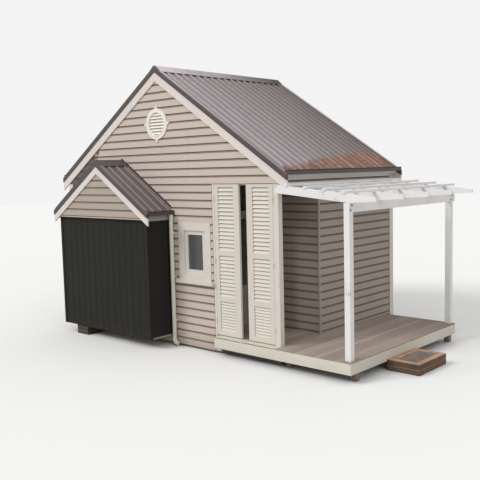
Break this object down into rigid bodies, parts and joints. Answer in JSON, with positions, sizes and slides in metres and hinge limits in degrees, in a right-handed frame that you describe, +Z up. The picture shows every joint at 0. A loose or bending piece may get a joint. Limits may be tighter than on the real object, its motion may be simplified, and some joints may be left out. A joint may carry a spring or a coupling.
{
  "type": "garden office pod",
  "caption": "Gabled garden studio with a gabled pop-out, tall louvred doors before a corner porch, and a raised timber deck under an open pergola with a brick step.",
  "frame": {"origin": "middle of the footprint's box, on the ground under the lowest stumps, pier and step", "axes": "+X along the front wall towards the deck, +Y from the front wall to the rear wall, +Z up"},
  "size_m": [7.946, 4.218, 5.1797],
  "materials": {
    "painted_boards": "satin greige paint on weatherboards",
    "cream_trim": "satin cream paint, worn at edges",
    "white_timber": "chipped white paint on rough timber",
    "roof_sheeting": "faded grey-brown ribbed sheeting with rust",
    "dark_flashing": "dark brown-grey folded metal",
    "charcoal_sheeting": "matte charcoal ribbed sheeting",
    "entrance_paint": "grey-brown satin paint",
    "pane_glass": "clear, dark behind",
    "pipe_plastic": "aged cream plastic",
    "weathered_deck": "bare weathered boards",
    "rough_timber": "bare sawn timber",
    "brickwork": "tan fired brick with mortar",
    "paver_stone": "worn grey-brown paver"
  },
  "bodies": {
    "house": {"stumps": "rough_timber", "floors": "rough_timber", "front_wall_left": "painted_boards", "front_wall_over_alcove": "painted_boards", "front_wall_middle": "painted_boards", "front_base_walls": "painted_boards", "front_corner_post": "cream_trim", "front_gable": "painted_boards", "right_wall": "painted_boards", "right_wall_over_porch": "painted_boards", "left_wall": "painted_boards", "rear_wall": "painted_boards", "porch_back_wall": "painted_boards", "porch_ceiling": "painted_boards", "corner_boards": "cream_trim", "roof_right": "roof_sheeting", "roof_left": "roof_sheeting", "ridge_caps": "roof_sheeting", "barge_boards": "cream_trim", "roof_flashings": "dark_flashing", "fascias": "white_timber", "gutters": "dark_flashing", "gable_vent": "cream_trim", "window_frame": "cream_trim", "glass_panes": "pane_glass", "door_frame": "cream_trim", "entrance_frame": "entrance_paint", "pop_out_pier": "brickwork", "pop_out_walls": "charcoal_sheeting", "pop_out_gable": "painted_boards", "pop_out_roof": "roof_sheeting", "downpipe": "pipe_plastic", "deck_frame": "rough_timber", "deck_boards": "weathered_deck", "deck_edge_boards": "cream_trim", "brick_step": "brickwork", "step_paver": "paver_stone", "pergola_posts": "white_timber", "pergola_beams": "white_timber", "pergola_rafters": "white_timber", "pergola_battens": "white_timber"},
    "left_leaf": {"left_door": "cream_trim"},
    "right_leaf": {"right_door": "cream_trim"},
    "entrance_leaf": {"entrance_door": "entrance_paint", "entrance_glass": "pane_glass"}
  },
  "joints": [
    {"name": "left_door_hinge", "type": "hinge", "parent": "house", "child": "left_leaf", "pos_m": [0.5135, -1.455, 1.676], "axis": [0, 0, -1], "range_deg": [0, 100]},
    {"name": "right_door_hinge", "type": "hinge", "parent": "house", "child": "right_leaf", "pos_m": [1.8405, -1.455, 1.676], "axis": [0, 0, 1], "range_deg": [0, 100]},
    {"name": "entrance_door_hinge", "type": "hinge", "parent": "house", "child": "entrance_leaf", "pos_m": [0.382, -1.2585, 1.4], "axis": [0, 0, 1], "range_deg": [0, 90]}
  ]
}
